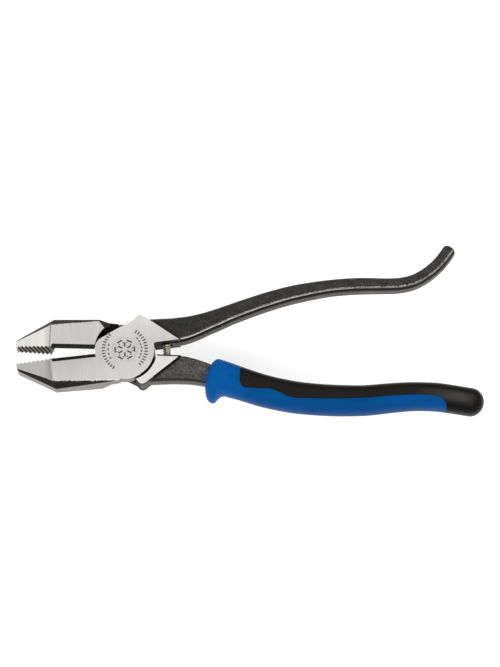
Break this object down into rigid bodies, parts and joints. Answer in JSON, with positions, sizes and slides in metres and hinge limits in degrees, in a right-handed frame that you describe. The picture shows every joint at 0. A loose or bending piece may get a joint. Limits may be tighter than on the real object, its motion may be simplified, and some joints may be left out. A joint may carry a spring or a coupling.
{
  "type": "lineman pliers",
  "caption": "Ironworker's side-cutting pliers with knurled jaws, knives behind them, a spring that opens the tool, a hooked bare handle and a collared two-material grip.",
  "frame": {"origin": "on the pivot axis, at the back face of the head", "axes": "+Z along the pivot out of the front face, +X from the pivot to the handles on the bisector of the two halves (-X to the jaws' nose), +Y to the bare hooked handle"},
  "size_m": [0.2367, 0.0898, 0.022],
  "materials": {
    "forged_steel": "ground bright head, black forged handles",
    "rivet_steel": "ground flush with the head",
    "spring_steel": "brassy grey drawn wire",
    "hard_black": "satin moulding",
    "soft_blue": "soft satin moulding"
  },
  "bodies": {
    "rear_body": {"rear_half_with_grip_tang": "forged_steel", "grip_hard_core": "hard_black", "grip_soft_cover": "soft_blue", "pivot_rivet": "rivet_steel", "return_spring": "spring_steel"},
    "front_body": {"front_half_with_hook_handle": "forged_steel"}
  },
  "joints": [
    {"name": "pivot", "type": "hinge", "parent": "rear_body", "child": "front_body", "pos_m": [0, 0, 0], "axis": [0, 0, 1], "range_deg": [-8, 24.6], "stiffness_Nm_per_rad": 1.3, "deforming": ["return_spring"]}
  ]
}
